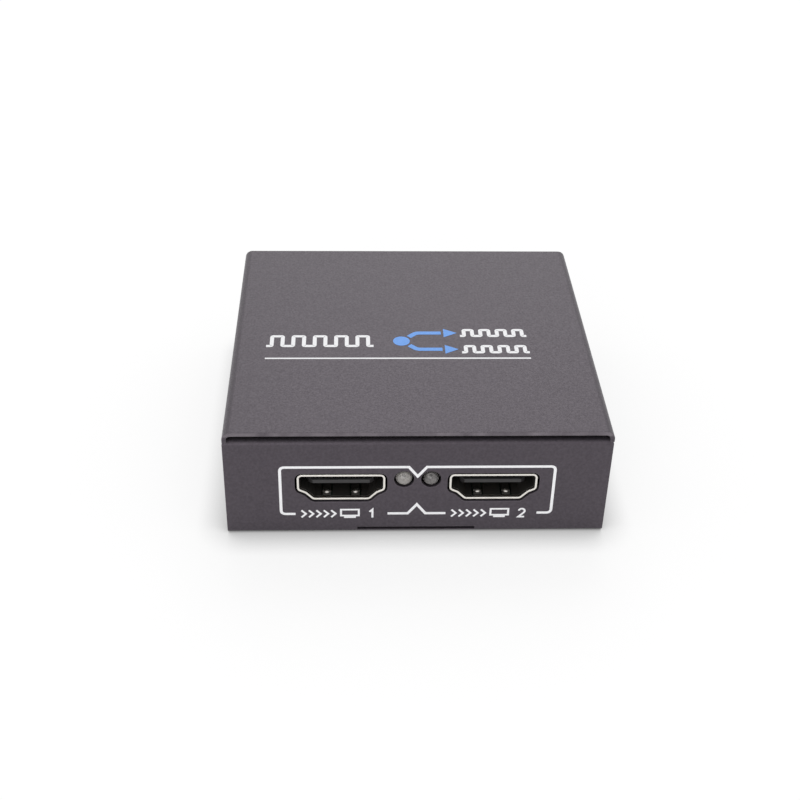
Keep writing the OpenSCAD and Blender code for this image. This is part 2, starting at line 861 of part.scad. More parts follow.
// Gull-wing lead drawn in Y and Z, its root at Y = 0 and its foot on the board
module gull_wing(w, h, l, t) {
  along_x(w) polygon([
    [-t, h], [l / 2, h], [l / 2, t], [l, t], [l, 0], [l / 2 - t, 0], [l / 2 - t, h - t], [-t, h - t]
  ]);
}

module chip_row(n, pitch, w, h, l, t) {
  for (i = [0 : n - 1]) translate([(i - (n - 1) / 2) * pitch, 0, 0]) gull_wing(w, h, l, t);
}

module splitter_chip() {
  lift = chip_lead_t;
  color([0.09, 0.09, 0.09]) translate([0, chip_y, board_top]) {
    translate([-chip_w / 2, -chip_w / 2, lift]) cube([chip_w, chip_w, chip_t]);
    for (a = [0, 90, 180, 270])
      rotate([0, 0, a]) translate([0, chip_w / 2, 0])
        chip_row(chip_lead_n, chip_lead_pitch, chip_lead_w, lift + chip_t / 2, chip_lead_l, chip_lead_t);
  }
}

module memory_chip() {
  lift = chip_lead_t;
  translate([-memory_w / 2, -memory_d / 2, lift]) cube([memory_w, memory_d, memory_t]);
  for (a = [0, 180])
    rotate([0, 0, a]) translate([0, memory_d / 2, 0])
      chip_row(memory_lead_n, memory_pitch, memory_lead_w, lift + memory_t / 2, chip_lead_l, chip_lead_t);
}

module memory_chips() {
  color([0.09, 0.09, 0.09]) for (x = [-memory_x, memory_x])
    translate([x, x > 0 ? memory_y : memory_back_y, board_top]) memory_chip();
}

module voltage_regulator() {
  lift = chip_lead_t;
  lead_z = lift + regulator_t / 2;
  color([0.09, 0.09, 0.09]) translate([regulator_x, regulator_y, board_top]) {
    translate([-regulator_w / 2, -regulator_d / 2, lift]) cube([regulator_w, regulator_d, regulator_t]);
    translate([0, -regulator_d / 2, 0]) rotate([0, 0, 180])
      chip_row(regulator_lead_n, regulator_pitch, regulator_lead_w, lead_z, regulator_lead_l, chip_lead_t);
    translate([0, regulator_d / 2, 0]) gull_wing(regulator_tab_w, lead_z, regulator_lead_l, chip_lead_t);
  }
}

// Oval can on a flat base
module clock_crystal() {
  color([0.75, 0.75, 0.74]) translate([crystal_x, crystal_y, board_top]) {
    linear_extrude(crystal_base_t) oval_2d(crystal_l, crystal_w);
    linear_extrude(crystal_h) oval_2d(crystal_l - 2 * crystal_rim, crystal_w - 2 * crystal_rim);
  }
}

module oval_2d(l, w) {
  square([l - w, w], center = true);
  for (s = [-1, 1]) translate([s * (l - w) / 2, 0]) circle(w / 2);
}

module bulk_capacitor() {
  color([0.7, 0.7, 0.72]) translate([can_x, can_y, board_top]) {
    translate([-can_base_w / 2, -can_base_w / 2, 0]) cube([can_base_w, can_base_w, can_base_t]);
    cylinder(h = can_h, r = can_r);
  }
}

module power_inductor() {
  color([0.22, 0.22, 0.23]) translate([coil_x, coil_y, board_top]) {
    translate([-coil_w / 2, -coil_w / 2, 0]) cube([coil_w, coil_w, coil_h / 3]);
    cylinder(h = coil_h, r = coil_w / 2 - coil_rim);
  }
}

module passive_rows(size, x, y) {
  for (i = [0 : passive_row_n - 1], s = [0, 1])
    translate([x + (i - (passive_row_n - 1) / 2) * passive_step - size.x / 2, y + s * 2 * size.y, board_top])
      cube(size);
}

module chip_capacitors() {
  color([0.55, 0.42, 0.30]) passive_rows([cap_l, cap_w, cap_t], cap_row_x, cap_row_y);
}

module chip_resistors() {
  color([0.12, 0.12, 0.12]) passive_rows([res_l, res_w, res_t], res_row_x, res_row_y);
}
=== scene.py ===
import json
import math

import bmesh
import bpy
from mathutils import Matrix, Vector


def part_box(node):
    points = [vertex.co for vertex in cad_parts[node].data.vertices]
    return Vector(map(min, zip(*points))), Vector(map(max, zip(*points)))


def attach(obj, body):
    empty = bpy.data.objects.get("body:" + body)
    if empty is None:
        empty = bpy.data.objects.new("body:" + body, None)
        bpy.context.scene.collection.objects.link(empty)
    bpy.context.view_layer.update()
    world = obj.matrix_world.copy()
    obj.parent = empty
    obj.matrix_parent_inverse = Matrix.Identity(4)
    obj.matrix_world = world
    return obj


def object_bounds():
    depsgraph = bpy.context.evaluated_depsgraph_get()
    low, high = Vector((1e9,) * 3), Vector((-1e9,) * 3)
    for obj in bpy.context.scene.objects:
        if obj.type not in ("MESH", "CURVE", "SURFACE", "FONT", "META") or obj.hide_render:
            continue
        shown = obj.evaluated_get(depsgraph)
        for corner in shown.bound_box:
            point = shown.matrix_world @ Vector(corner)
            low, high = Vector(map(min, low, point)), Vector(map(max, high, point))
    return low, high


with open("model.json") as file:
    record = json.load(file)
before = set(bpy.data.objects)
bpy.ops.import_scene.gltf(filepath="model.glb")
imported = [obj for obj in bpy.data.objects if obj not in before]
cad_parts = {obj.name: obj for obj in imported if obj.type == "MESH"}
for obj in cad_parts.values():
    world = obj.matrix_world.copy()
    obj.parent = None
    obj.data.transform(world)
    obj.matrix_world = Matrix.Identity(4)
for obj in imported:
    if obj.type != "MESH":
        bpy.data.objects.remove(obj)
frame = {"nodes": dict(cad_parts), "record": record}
cad_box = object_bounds()
nodes = frame["nodes"]
MM = 0.001
FULL_TURN = 2 * math.pi
SOCKETS = ("output_1", "output_2", "input")
scene = bpy.context.scene

# Camera at the photograph's viewing angle
IMAGE_PX = 800
SENSOR_MM = 36.0
FOCAL_PX = 1290.0
CAMERA_MM = (-11.1, -197.5, 145.0)
YAW = math.radians(2.68)
PITCH = math.radians(35.0)
ROLL = math.radians(1.41)
NEAREST = 0.01


def make_camera():
    forward = Vector((
        math.sin(YAW) * math.cos(PITCH),
        math.cos(YAW) * math.cos(PITCH),
        -math.sin(PITCH),
    ))
    level = Vector((math.cos(YAW), -math.sin(YAW), 0))
    upright = level.cross(forward)
    right = math.cos(ROLL) * level + math.sin(ROLL) * upright
    up = math.cos(ROLL) * upright - math.sin(ROLL) * level
    turn = Matrix((right, up, -forward)).transposed().to_4x4()
    data = bpy.data.cameras.new("camera")
    data.sensor_width = SENSOR_MM
    data.lens = FOCAL_PX * SENSOR_MM / IMAGE_PX
    data.clip_start = NEAREST
    camera = bpy.data.objects.new("camera", data)
    camera.matrix_world = Matrix.Translation(Vector(CAMERA_MM) * MM) @ turn
    scene.collection.objects.link(camera)
    scene.camera = camera


# Studio: white surroundings, a broad soft light behind and above, and another in front; the floor's seen glow
# carries a painted contact shadow
SKY_LEVEL = 0.75
FLOOR_RADIUS = 4.0
FLOOR_SEGMENTS = 96
FLOOR_BOUNCE = 0.9
FLOOR_GLOW = 0.74
FLOOR_SHADED = 0.3
CONTACT_SHADOW_REACH = 6 * MM
LIGHT_SIZE = 0.7
REAR_PLACE = (0.06, 0.69, 0.68)
REAR_POWER = 1.7
FRONT_PLACE = (-0.25, -0.9, 0.25)
FRONT_POWER = 2.2
WHITE = (1, 1, 1, 1)


def combined(tree, operation, first, second):
    both = tree.nodes.new("ShaderNodeMath")
    both.operation = operation
    tree.links.new(first, both.inputs[0])
    tree.links.new(second, both.inputs[1])
    return both.outputs["Value"]


def seen_or_cast(tree, output, cast, seen):
    """The camera, reflections and glass meet the shader seen, and light itself the shader cast."""
    mix = tree.nodes.new("ShaderNodeMixShader")
    path = tree.nodes.new("ShaderNodeLightPath")
    looked_at = combined(tree, "MAXIMUM", path.outputs["Is Camera Ray"], path.outputs["Is Glossy Ray"])
    looked_at = combined(tree, "MAXIMUM", looked_at, path.outputs["Is Transmission Ray"])
    tree.links.new(looked_at, mix.inputs["Fac"])
    tree.links.new(cast.outputs[0], mix.inputs[1])
    tree.links.new(seen.outputs[0], mix.inputs[2])
    tree.links.new(mix.outputs[0], output.inputs["Surface"])


def make_world():
    world = bpy.data.worlds.new("studio")
    world.use_nodes = True
    tree = world.node_tree
    tree.nodes.clear()
    output = tree.nodes.new("ShaderNodeOutputWorld")
    cast = tree.nodes.new("ShaderNodeBackground")
    cast.inputs["Color"].default_value = WHITE
    cast.inputs["Strength"].default_value = SKY_LEVEL
    seen = tree.nodes.new("ShaderNodeBackground")
    seen.inputs["Color"].default_value = WHITE
    seen_or_cast(tree, output, cast, seen)
    scene.world = world


def grey(level):
    return (level, level, level, 1)


def make_floor():
    ring = []
    for i in range(FLOOR_SEGMENTS):
        angle = FULL_TURN * i / FLOOR_SEGMENTS
        ring.append((FLOOR_RADIUS * math.cos(angle), FLOOR_RADIUS * math.sin(angle), cad_box[0].z))
    mesh = bpy.data.meshes.new("floor")
    mesh.from_pydata(ring, [], [tuple(range(FLOOR_SEGMENTS))])
    floor = bpy.data.objects.new("floor", mesh)
    scene.collection.objects.link(floor)
    look = bpy.data.materials.new("floor_white")
    look.use_nodes = True
    tree = look.node_tree
    tree.nodes.clear()
    output = tree.nodes.new("ShaderNodeOutputMaterial")
    cast = tree.nodes.new("ShaderNodeBsdfDiffuse")
    cast.inputs["Color"].default_value = grey(FLOOR_BOUNCE)
    # Painted contact shadow: ambient occlusion darkens the floor's seen glow near the case
    contact = tree.nodes.new("ShaderNodeAmbientOcclusion")
    contact.inputs["Distance"].default_value = CONTACT_SHADOW_REACH
    glow = tree.nodes.new("ShaderNodeEmission")
    glow.inputs["Strength"].default_value = FLOOR_GLOW
    tree.links.new(contact.outputs["Color"], glow.inputs["Color"])
    shaded = tree.nodes.new("ShaderNodeBsdfDiffuse")
    shaded.inputs["Color"].default_value = grey(FLOOR_SHADED)
    seen = tree.nodes.new("ShaderNodeAddShader")
    tree.links.new(glow.outputs[0], seen.inputs[0])
    tree.links.new(shaded.outputs[0], seen.inputs[1])
    seen_or_cast(tree, output, cast, seen)
    mesh.materials.append(look)


def make_light(name, place, power):
    data = bpy.data.lights.new(name, "AREA")
    data.shape = "DISK"
    data.size = LIGHT_SIZE
    data.energy = power
    light = bpy.data.objects.new(name, data)
    light.location = place
    light.rotation_euler = Vector(place).to_track_quat("Z", "Y").to_euler()
    light.visible_camera = False
    scene.collection.objects.link(light)


# Materials: colour with fine mottling, uneven gloss and a grain in the surface
EVEN = (1, 1, 1)
MOTTLE_DETAIL = 4.0
GRAIN_DETAIL = 2.0
NOISE_LOW = 0.3
NOISE_HIGH = 0.7
EDGE_STARTS = 0.99
EDGE_FULL = 0.8
WEAR_PATCH = 3 * MM
WEAR_LEAST = 0.3


def noise(tree, size, detail, stretch=EVEN):
    """Noise whose blobs are about size across, drawn out along an axis where stretch is below 1."""
    place = tree.nodes.new("ShaderNodeTexCoord")
    squeeze = tree.nodes.new("ShaderNodeVectorMath")
    squeeze.operation = "MULTIPLY"
    squeeze.inputs[1].default_value = stretch
    texture = tree.nodes.new("ShaderNodeTexNoise")
    texture.inputs["Scale"].default_value = 1 / size
    texture.inputs["Detail"].default_value = detail
    tree.links.new(place.outputs["Object"], squeeze.inputs[0])
    tree.links.new(squeeze.outputs[0], texture.inputs["Vector"])
    return texture.outputs["Fac"]


def ramp(tree, value, start, end, low=0, high=1):
    """The value's way from start to end turned into one from low to high."""
    change = tree.nodes.new("ShaderNodeMapRange")
    change.inputs["From Min"].default_value = start
    change.inputs["From Max"].default_value = end
    change.inputs["To Min"].default_value = low
    change.inputs["To Max"].default_value = high
    tree.links.new(value, change.inputs["Value"])
    return change.outputs["Result"]


def spread(tree, value, low, high):
    """The middle of a noise stretched from low to high."""
    return ramp(tree, value, NOISE_LOW, NOISE_HIGH, low, high)


def distance_along(tree, vector, axis, middle=0.0):
    """How far a vector's part along an axis is from the middle."""
    parts = tree.nodes.new("ShaderNodeSeparateXYZ")
    tree.links.new(vector, parts.inputs[0])
    offset = tree.nodes.new("ShaderNodeMath")
    offset.operation = "SUBTRACT"
    offset.inputs[1].default_value = middle
    tree.links.new(parts.outputs[axis], offset.inputs[0])
    size = tree.nodes.new("ShaderNodeMath")
    size.operation = "ABSOLUTE"
    tree.links.new(offset.outputs["Value"], size.inputs[0])
    return size.outputs["Value"]


def mixed(tree, share, first, second):
    """Colour that goes from first to second as share goes from 0 to 1; either may be a socket."""
    mix = tree.nodes.new("ShaderNodeMix")
    mix.data_type = "RGBA"
    tree.links.new(share, mix.inputs["Factor"])
    for name, colour in (("A", first), ("B", second)):
        socket = [s for s in mix.inputs if s.name == name and s.type == "RGBA"][0]
        if isinstance(colour, tuple):
            socket.default_value = (*colour, 1)
        else:
            tree.links.new(colour, socket)
    return [s for s in mix.outputs if s.type == "RGBA"][0]


def times(colour, factor):
    return tuple(c * factor for c in colour)


def rounded_edge(tree, reach):
    """Normal that turns over within reach of an edge."""
    bevel = tree.nodes.new("ShaderNodeBevel")
    bevel.inputs["Radius"].default_value = reach
    return bevel.outputs["Normal"]


def patchy(tree, share):
    """A share broken up by noise."""
    breaks = spread(tree, noise(tree, WEAR_PATCH, MOTTLE_DETAIL), WEAR_LEAST, 1)
    return combined(tree, "MULTIPLY", share, breaks)


def worn_edges(tree, reach):
    """Share that rises from 0 on flat faces to 1 on outer edges, broken up by noise."""
    facing = tree.nodes.new("ShaderNodeNewGeometry")
    dot = tree.nodes.new("ShaderNodeVectorMath")
    dot.operation = "DOT_PRODUCT"
    tree.links.new(rounded_edge(tree, reach), dot.inputs[0])
    tree.links.new(facing.outputs["Normal"], dot.inputs[1])
    return patchy(tree, ramp(tree, dot.outputs["Value"], EDGE_STARTS, EDGE_FULL))


def shader_of(look):
    return look.node_tree.nodes["Principled BSDF"]


def recolour(look, share, colour):
    """Bring a second colour into a material where share is above 0."""
    tree = look.node_tree
    tint = shader_of(look).inputs["Base Color"]
    tree.links.new(mixed(tree, share, tint.links[0].from_socket, colour), tint)


def surface(name, colour, rough, metallic=0, mottle=0.08, mottle_mm=2.0, gloss=0.06, gloss_mm=0.5, grain=0.15,
            grain_mm=0.12, grain_depth_mm=0.01, stretch=EVEN, wear=None, wear_mm=0.25, round_mm=None):
    """A procedural material; wear is the colour of rubbed edges, round_mm how far its edges are rounded."""
    look = bpy.data.materials.new(name)
    look.use_nodes = True
    tree = look.node_tree
    shader = shader_of(look)
    patches = spread(tree, noise(tree, mottle_mm * MM, MOTTLE_DETAIL, stretch), 0, 1)
    tint = mixed(tree, patches, times(colour, 1 - mottle), times(colour, 1 + mottle))
    tree.links.new(tint, shader.inputs["Base Color"])
    if wear is not None:
        recolour(look, worn_edges(tree, wear_mm * MM), wear)
    sheen = spread(tree, noise(tree, gloss_mm * MM, GRAIN_DETAIL, stretch), rough - gloss, rough + gloss)
    tree.links.new(sheen, shader.inputs["Roughness"])
    bump = tree.nodes.new("ShaderNodeBump")
    bump.inputs["Strength"].default_value = grain
    bump.inputs["Distance"].default_value = grain_depth_mm * MM
    tree.links.new(noise(tree, grain_mm * MM, GRAIN_DETAIL, stretch), bump.inputs["Height"])
    if round_mm is not None:
        tree.links.new(rounded_edge(tree, round_mm * MM), bump.inputs["Normal"])
    tree.links.new(bump.outputs["Normal"], shader.inputs["Normal"])
    shader.inputs["Metallic"].default_value = metallic
    return look


# Colours and finishes of the coat, the nickel and the lenses
COAT = (0.046, 0.040, 0.047)
COAT_RUBBED = (0.17, 0.15, 0.17)
# Paler coat on the cut ends of the top: partly thin coat, partly a painted highlight
COAT_THIN_AND_HIGHLIT = (0.17, 0.153, 0.168)
COAT_SHEEN = (1, 0.86, 1, 1)
END_STARTS = 0.8
END_FULL = 0.95
PALE_STARTS = 1.0 * MM
PALE_FULL = 0.7 * MM
NICKEL = (0.80, 0.77, 0.72)
NICKEL_ROUGH = 0.24
ALONG_Y = (1, 0.08, 1)
# Colour the nickel takes deep inside a socket: painted shade
NICKEL_PAINTED_SHADE = (0.085, 0.08, 0.075)
DULL_ROUGH = 0.6
BRIGHT_RIM = 0.25 * MM
FADE_IN = 0.5 * MM
BRIGHT_POINT = 0.19 * MM
FADE_DOWN = 0.06 * MM
POINT_ROUGH = 0.4
RESIN = (0.72, 0.69, 0.66)
RESIN_IOR = 1.53
CLEAR = 0.93
HAZY = 0.74


def coat(name):
    """Satin powder coat with a fine speckle."""
    look = surface(name, COAT, rough=0.42, mottle=0.22, mottle_mm=0.45, gloss=0.1, gloss_mm=0.3, grain=0.5,
                   grain_mm=0.16, grain_depth_mm=0.02, wear=COAT_RUBBED, round_mm=0.3)
    shader_of(look).inputs["Specular Tint"].default_value = COAT_SHEEN
    return look


def cover_look():
    """The same coat, paler on the cut ends of the top: partly thin coat, partly a painted highlight where the
    rounded edge catches light.
    """
    look = coat("coated_steel_cover")
    tree = look.node_tree
    facing = tree.nodes.new("ShaderNodeNewGeometry")
    turned = distance_along(tree, facing.outputs["True Normal"], "Y")
    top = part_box("top_cover")[1].z
    height = distance_along(tree, facing.outputs["Position"], "Z")
    # Painted highlight, partly thin coat: the cut ends just under the top turn paler
    ends = combined(tree, "MULTIPLY", ramp(tree, turned, END_STARTS, END_FULL),
                    ramp(tree, height, top - PALE_STARTS, top - PALE_FULL))
    recolour(look, patchy(tree, ends), COAT_THIN_AND_HIGHLIT)
    return look


def nickel(name):
    """Bright plate with a fine grain along Y."""
    return surface(name, NICKEL, NICKEL_ROUGH, metallic=1, mottle=0.04, grain=0.1, grain_mm=0.08,
                   stretch=ALONG_Y, round_mm=0.12)


def dulled_and_shaded(look, bright_rough, axis, middle, start, end):
    """Nickel that turns rougher and darker where the distance from the middle goes from start to end; the
    darkening is painted shade.
    """
    tree = look.node_tree
    place = tree.nodes.new("ShaderNodeTexCoord")
    distance = distance_along(tree, place.outputs["Object"], axis, middle)
    # Painted shade: the nickel's colour darkens with the distance
    recolour(look, ramp(tree, distance, start, end), NICKEL_PAINTED_SHADE)
    rough = ramp(tree, distance, start, end, bright_rough, DULL_ROUGH)
    tree.links.new(rough, shader_of(look).inputs["Roughness"])
    return look


def shell_look():
    """Bright at the mouth of a socket; further in rougher, with painted shade darkening the nickel."""
    mouth = -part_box("output_1_shell")[0].y - BRIGHT_RIM
    return dulled_and_shaded(nickel("nickel_shell"), NICKEL_ROUGH, "Y", 0.0, mouth, mouth - FADE_IN)


def spring_look():
    """Polished by plugs on the contact points; elsewhere rougher, with painted shade darkening the nickel."""
    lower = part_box("output_1_lower_springs")
    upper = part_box("output_1_upper_springs")
    middle = (lower[0].z + upper[1].z) / 2
    point = (upper[0].z - lower[1].z) / 2 + BRIGHT_POINT
    return dulled_and_shaded(nickel("nickel_spring"), POINT_ROUGH, "Z", middle, point, point + FADE_DOWN)


def resin(name, clearness):
    """Moulded lens that lets a share of the light through."""
    look = surface(name, RESIN, rough=0.1, mottle=0.02, gloss=0.03, grain=0.02)
    shader_of(look).inputs["Transmission Weight"].default_value = clearness
    shader_of(look).inputs["IOR"].default_value = RESIN_IOR
    return look


looks = {
    "coated_steel": coat("coated_steel"),
    "nickel_plate": nickel("nickel_plate"),
    "black_plastic": surface("black_plastic", (0.022, 0.021, 0.022), rough=0.45, grain=0.3, grain_mm=0.1,
                             round_mm=0.1),
    "black_zinc": surface("black_zinc", (0.075, 0.075, 0.08), rough=0.34, metallic=0.85, mottle=0.15,
                          wear=(0.35, 0.34, 0.33), wear_mm=0.12, round_mm=0.1),
    "bright_zinc": surface("bright_zinc", (0.70, 0.70, 0.68), rough=0.3, metallic=1),
    "gold_plate": surface("gold_plate", (0.83, 0.60, 0.25), rough=0.26, metallic=1),
    "tinned_brass": surface("tinned_brass", (0.74, 0.73, 0.69), rough=0.28, metallic=1),
    "tinned_steel": surface("tinned_steel", (0.72, 0.72, 0.70), rough=0.3, metallic=1),
    "chip_resin": surface("chip_resin", (0.030, 0.030, 0.031), rough=0.55, grain=0.4, grain_mm=0.15),
    "chip_ceramic": surface("chip_ceramic", (0.45, 0.33, 0.22), rough=0.5, mottle=0.2, mottle_mm=0.4),
    "board_laminate": surface("board_laminate", (0.012, 0.030, 0.018), rough=0.32, mottle=0.35,
                              mottle_mm=1.2),
    "can_aluminium": surface("can_aluminium", (0.75, 0.75, 0.77), rough=0.26, metallic=1),
    "ferrite": surface("ferrite", (0.10, 0.10, 0.105), rough=0.6, mottle=0.2, mottle_mm=0.3, grain=0.4),
    "clear_resin": resin("clear_resin", CLEAR),
}
BOWL_LOOKS = {
    "light_1": surface("bowl_bright", (0.34, 0.33, 0.32), rough=0.5, metallic=1, mottle=0.25, mottle_mm=0.3,
                       grain=0.4),
    "light_2": surface("bowl_dark", (0.15, 0.145, 0.15), rough=0.32, metallic=1, mottle=0.5, mottle_mm=0.5,
                       grain=0.6),
}
WHITE_INK = surface("white_ink", (0.92, 0.92, 0.94), rough=0.5, mottle=0.03, mottle_mm=0.4, grain=0.3,
                    grain_mm=0.1)
BLUE_INK = surface("blue_ink", (0.13, 0.35, 0.85), rough=0.5, mottle=0.05, mottle_mm=0.4, grain=0.3,
                   grain_mm=0.1)


def dress(name, look):
    nodes[name].material_slots[0].material = look


def dress_nodes():
    for part in frame["record"]["subparts"]:
        dress(part["node"], looks[part["material_slot"]])
    dress("top_cover", cover_look())
    dress("light_1_lens", resin("hazy_resin", HAZY))
    shell = shell_look()
    spring = spring_look()
    for socket in SOCKETS:
        dress(socket + "_shell", shell)
        dress(socket + "_lower_springs", spring)
        dress(socket + "_upper_springs", spring)


def wrap(shape, near, far):
    """Faces between two rings of corners."""
    for i in range(len(near)):
        shape.faces.new((near[i - 1], near[i], far[i], far[i - 1]))


def add_piece(name, shape, look):
    """A new piece that stays with the case."""
    bmesh.ops.recalc_face_normals(shape, faces=shape.faces)
    mesh = bpy.data.meshes.new(name)
    shape.to_mesh(mesh)
    shape.free()
    mesh.materials.append(look)
    piece = bpy.data.objects.new(name, mesh)
    scene.collection.objects.link(piece)
    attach(piece, "case")


# Printed marks, drawn in millimetres on a face and given the thickness of ink
INK_LOW = 0.002
INK_HIGH = 0.02
CURVE_STEPS = 6
CIRCLE_STEPS = 32
CHEVRON_W = 0.75
CHEVRON_H = 1.5
CHEVRON_STEP = 1.25
FRONT_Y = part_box("bottom_tray")[0].y / MM
REAR_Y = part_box("bottom_tray")[1].y / MM
TOP_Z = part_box("top_cover")[1].z / MM


def on_front(u, v, h):
    return Vector((u, FRONT_Y - h, v)) * MM


def on_rear(u, v, h):
    return Vector((-u, REAR_Y + h, v)) * MM


def on_top(u, v, h):
    return Vector((u, v, TOP_Z + h)) * MM


def arc(centre, radius, start, end):
    points = []
    for i in range(CIRCLE_STEPS + 1):
        angle = start + (end - start) * i / CIRCLE_STEPS
        points.append(Vector(centre) + radius * Vector((math.cos(angle), math.sin(angle))))
    return points


def circle(centre, radius):
    return arc(centre, radius, 0, FULL_TURN)[:-1]


def eased(points, reach):
    """The same line with each inner corner turned into a curve that starts reach before it."""
    points = [Vector(p) for p in points]
    line = [points[0]]
    for before, corner, after in zip(points, points[1:], points[2:]):
        start = corner + (before - corner).normalized() * reach
        end = corner + (after - corner).normalized() * reach
        for i in range(CURVE_STEPS + 1):
            t = i / CURVE_STEPS
            line.append(start * (1 - t) ** 2 + corner * 2 * t * (1 - t) + end * t ** 2)
    line.append(points[-1])
    return line


def box_line(u, v, width, height):
    return [(u - width / 2, v - height / 2), (u + width / 2, v - height / 2),
            (u + width / 2, v + height / 2), (u - width / 2, v + height / 2)]


class Print:
    """Lines and patches of one ink on one face of the case."""

    def __init__(self, name, place, ink):
        self.name = name
        self.place = place
        self.ink = ink
        self.shape = bmesh.new()

    def corner(self, point, height):
        return self.shape.verts.new(self.place(point.x, point.y, height))

    def line(self, points, width, closed=False):
        """A line of even width with mitred corners and, where it is open, square ends."""
        points = [Vector(p) for p in points]
        ways = [(b - a).normalized() for a, b in zip(points, points[1:] + points[:1])]
        rings = []
        for i, point in enumerate(points):
            first = ways[i] if i == 0 and not closed else ways[i - 1]
            last = first if i == len(points) - 1 and not closed else ways[i]
            side = Vector((-first.y - last.y, first.x + last.x)) / (1 + first.dot(last)) * width / 2
            rings.append([self.corner(point + side, INK_LOW), self.corner(point - side, INK_LOW),
                          self.corner(point - side, INK_HIGH), self.corner(point + side, INK_HIGH)])
        pairs = list(zip(rings, rings[1:]))
        if closed:
            pairs.append((rings[-1], rings[0]))
        else:
            self.shape.faces.new(rings[0])
            self.shape.faces.new(rings[-1])
        for near, far in pairs:
            wrap(self.shape, near, far)

    def patch(self, points):
        """A filled outline."""
        low = [self.corner(Vector(p), INK_LOW) for p in points]
        high = [self.corner(Vector(p), INK_HIGH) for p in points]
        self.shape.faces.new(low)
        self.shape.faces.new(high)
        wrap(self.shape, low, high)

    def chevrons(self, u, v, count, width):
        for i in range(count):
            start = u + i * CHEVRON_STEP
            tip = (start + CHEVRON_W, v)
            self.line([(start, v - CHEVRON_H / 2), tip, (start, v + CHEVRON_H / 2)], width)

    def finish(self):
        add_piece(self.name, self.shape, self.ink)


# Front: a frame round both outputs, notched in the middle, with a label under each output
FRAME_LINE = 0.48
FRAME_CORNER = 0.8
FRAME_LOW = 4.2
FRAME_HIGH = 14.1
FRAME_HALF = 22.8
NOTCH_HALF = 1.5
NOTCH_DEEP = 1.95
LABEL_MID = 12.65
LABEL_HALF = 7.75
MARK_LINE = 0.34
CHEVRON_COUNT = 5
CHEVRONS_LEFT = 6.75
SCREEN_RIGHT = 1.4
SCREEN_W = 3.0
SCREEN_H = 1.3
SCREEN_UP = 0.22
STAND_HALF = 1.0
STAND_DOWN = 0.78
NUMERAL_RIGHT = 5.2
NUMERAL_H = 1.75
NUMERAL_R = 0.5
BOW_START = math.radians(170)
BOW_END = math.radians(-40)


def print_front():
    ink = Print("front_print", on_front, WHITE_INK)
    outer = LABEL_MID + LABEL_HALF
    inner = LABEL_MID - LABEL_HALF
    left = eased([
        (-outer, FRAME_LOW), (-FRAME_HALF, FRAME_LOW), (-FRAME_HALF, FRAME_HIGH), (-NOTCH_HALF, FRAME_HIGH),
    ], FRAME_CORNER)
    right = [(-p.x, p.y) for p in reversed(left)]
    ink.line(left + [(0, FRAME_HIGH - NOTCH_DEEP)] + right, FRAME_LINE)
    ink.line([
        (-inner, FRAME_LOW), (-NOTCH_HALF, FRAME_LOW), (0, FRAME_LOW + NOTCH_DEEP), (NOTCH_HALF, FRAME_LOW),
        (inner, FRAME_LOW),
    ], FRAME_LINE)
    for number, middle in ((1, -LABEL_MID), (2, LABEL_MID)):
        print_label(ink, number, middle)
    ink.finish()


def print_label(ink, number, middle):
    """Chevrons, a screen on its stand and the number of the output."""
    ink.chevrons(middle - CHEVRONS_LEFT, FRAME_LOW, CHEVRON_COUNT, MARK_LINE)
    screen = middle + SCREEN_RIGHT
    ink.line(box_line(screen, FRAME_LOW + SCREEN_UP, SCREEN_W, SCREEN_H), MARK_LINE, closed=True)
    stand = FRAME_LOW - STAND_DOWN
    ink.line([(screen - STAND_HALF, stand), (screen + STAND_HALF, stand)], MARK_LINE)
    u = middle + NUMERAL_RIGHT
    top = FRAME_LOW + NUMERAL_H / 2
    foot = FRAME_LOW - NUMERAL_H / 2
    if number == 1:
        ink.line([(u - NUMERAL_R, top - NUMERAL_R), (u, top), (u, foot)], MARK_LINE)
    else:
        bow = arc((u, top - NUMERAL_R), NUMERAL_R, BOW_START, BOW_END)
        ink.line(bow + [(u - NUMERAL_R, foot), (u + NUMERAL_R, foot)], MARK_LINE)


# Top: one train of pulses comes in on the left, and two leave a fork on the right
PULSE_LINE = 0.7
PULSE_CORNER = 0.3
PULSE_LEAD = 0.25
PULSE_SHARE = 0.5
TRAIN_Y = -3.0
TRAIN_START = -26.0
TRAIN_HIGH = 3.2
TRAIN_STEP = 3.8
TRAIN_COUNT = 5
FORK_X = -2.0
FORK_R = 1.5
FORK_GAP = 0.45
FORK_LINE = 1.0
FORK_CORNER = 0.6
FORK_ANGLE = math.radians(45)
BRANCH_APART = 2.7
BRANCH_END = 5.2
ARROW_L = 2.4
ARROW_HALF = 1.4
OUT_START = 8.6
OUT_HIGH = 2.0
OUT_STEP = 3.0
OUT_COUNT = 4
RULE_Y = -8.6
RULE_LINE = 0.4


def pulses(start, middle, high, step, count):
    low = middle - high / 2
    line = [(start, low)]
    for i in range(count):
        rise = start + step * (i + PULSE_LEAD)
        fall = rise + step * PULSE_SHARE
        line += [(rise, low), (rise, low + high), (fall, low + high), (fall, low)]
    line.append((start + step * count, low))
    return eased(line, PULSE_CORNER)


